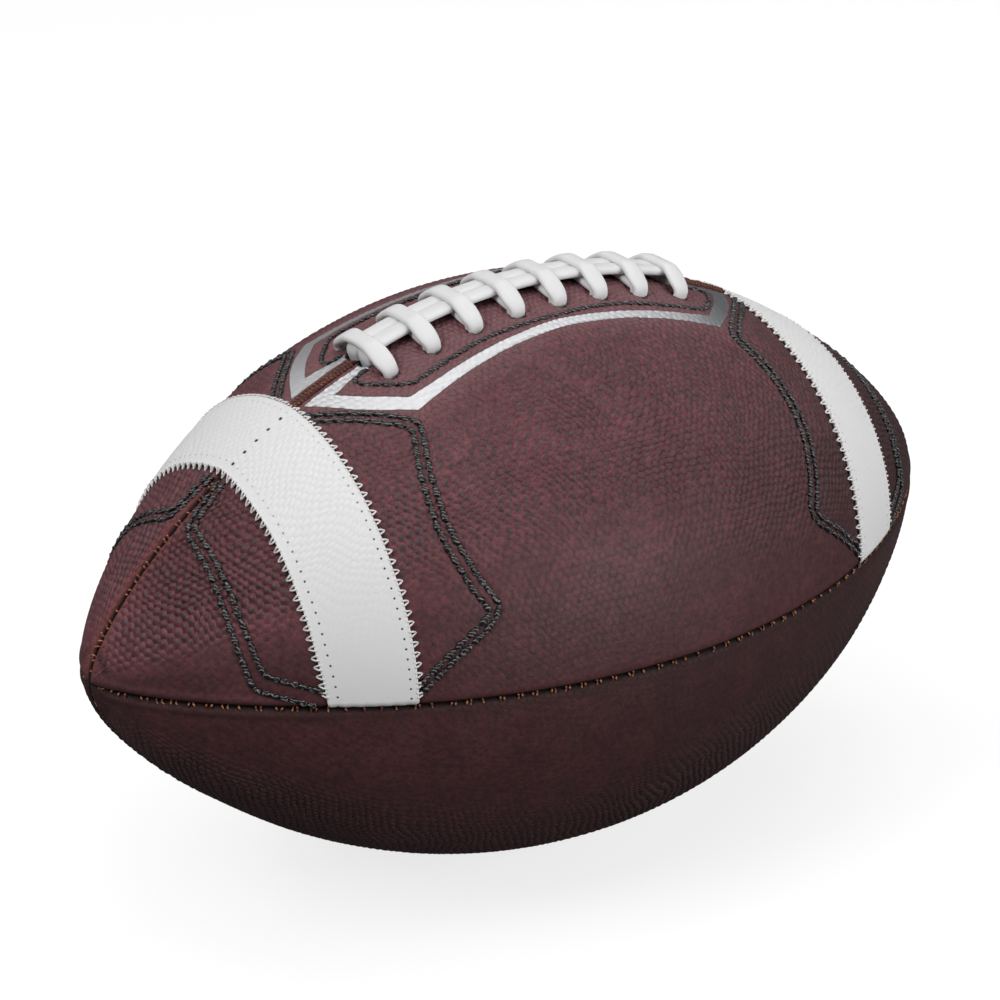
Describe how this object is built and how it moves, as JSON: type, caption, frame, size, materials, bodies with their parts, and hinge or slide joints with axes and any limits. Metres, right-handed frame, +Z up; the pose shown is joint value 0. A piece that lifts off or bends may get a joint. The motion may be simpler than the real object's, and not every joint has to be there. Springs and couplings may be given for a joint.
{
  "type": "american football",
  "caption": "Prolate pebbled leather ball with turned-in panel seams, white end stripes, a raised lacing over a closed slit, and an inflated bladder with a needle valve.",
  "frame": {"origin": "centre of the ball, on its long axis midway between the two noses", "axes": "+X along the ball towards its rear nose, +Z up through the middle of the lacing, -Y is the ball's right side"},
  "size_m": [0.288, 0.1684, 0.1752],
  "materials": {
    "hide": "pebbled, low sheen",
    "lining_cloth": "woven",
    "stripe_white": "pebbled, matt",
    "welt": "smooth",
    "facing": "smooth",
    "tongue_pad": "smooth",
    "lace_white": "coated, matt",
    "bladder_rubber": "smooth",
    "valve_rubber": "matt"
  },
  "bodies": {
    "root": {"panel_top_right": "hide", "panel_top_left": "hide", "panel_bottom_right": "hide", "panel_bottom_left": "hide", "lining_top_right": "lining_cloth", "lining_top_left": "lining_cloth", "lining_bottom_right": "lining_cloth", "lining_bottom_left": "lining_cloth", "stripe_front": "stripe_white", "stripe_rear": "stripe_white", "seam_welt_front": "welt", "seam_welt_rear": "welt", "facing_right": "facing", "facing_left": "facing", "tongue": "tongue_pad", "lace": "lace_white", "bladder": "bladder_rubber", "valve_backing": "lining_cloth", "valve_housing": "valve_rubber", "valve_plug": "valve_rubber"}
  },
  "joints": []
}
